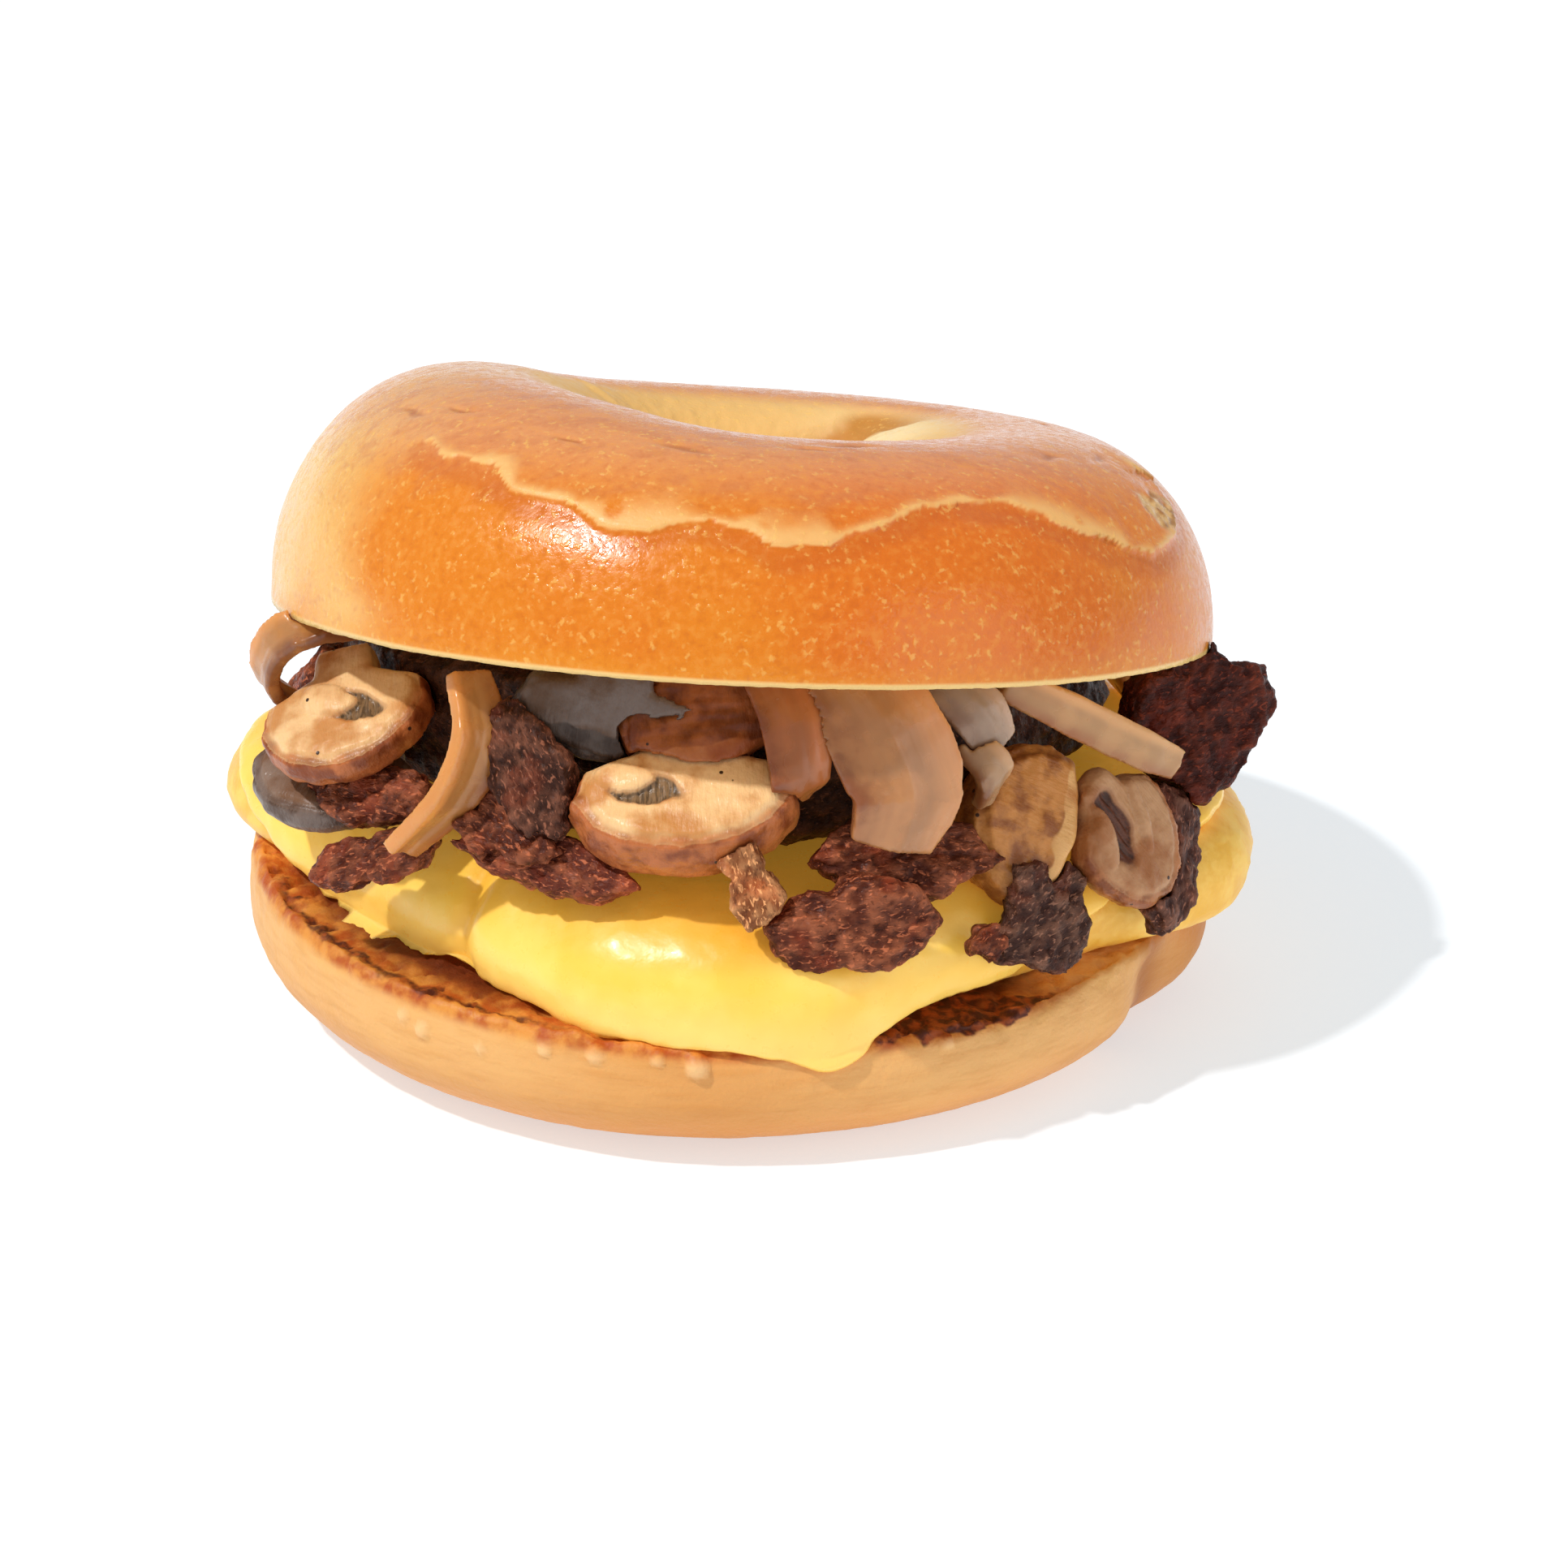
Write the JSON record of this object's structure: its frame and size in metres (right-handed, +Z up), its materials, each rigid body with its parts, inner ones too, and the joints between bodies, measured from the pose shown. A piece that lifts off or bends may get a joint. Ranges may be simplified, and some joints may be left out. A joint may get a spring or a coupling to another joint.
{
  "type": "bagel",
  "caption": "Filled bagel: a toasted ring bagel split in two round an egg patty, melted cheese, shaved steak, mushrooms and onions",
  "frame": {"origin": "on the floor, under the middle of the sandwich's box", "axes": "+Z up, -Y the front where the filling lifts the upper half, +X the long side with the egg's and steak's corners"},
  "size_m": [0.1282, 0.1187, 0.0815],
  "materials": {
    "heel_crust": "matte baked crust, toasted cut face",
    "crown_crust": "glossy golden baked crust",
    "egg": "soft set egg",
    "cheese": "melted, satin gloss",
    "mushroom": "moist fried slice",
    "onion": "moist, slightly see-through",
    "steak": "rough browned meat with a moist glint"
  },
  "bodies": {
    "root": {"heel": "heel_crust", "crown": "crown_crust", "egg": "egg", "cheese": "cheese", "mushroom_left": "mushroom", "mushroom_left_under": "mushroom", "mushroom_front": "mushroom", "mushroom_front_top": "mushroom", "mushroom_dark": "mushroom", "mushroom_right_cap": "mushroom", "mushroom_right_slice": "mushroom", "mushroom_back_left": "mushroom", "mushroom_back_right": "mushroom", "onion_curl_left": "onion", "onion_brown": "onion", "onion_strip_front": "onion", "onion_petal": "onion", "onion_bit_upper": "onion", "onion_bit_lower": "onion", "onion_strip_right": "onion", "onion_back": "onion", "onion_back_left": "onion", "steak_front": "steak", "steak_front_fold": "steak", "steak_front_ledge": "steak", "steak_right_low": "steak", "steak_right_end": "steak", "steak_right_slab": "steak", "steak_left_upper": "steak", "steak_left_lower": "steak", "steak_left_front": "steak", "steak_left_inner": "steak", "steak_left_fold": "steak", "steak_crumb": "steak", "steak_back_left": "steak", "steak_back": "steak", "steak_back_right": "steak", "steak_left_end": "steak", "steak_heap": "steak"}
  },
  "joints": []
}
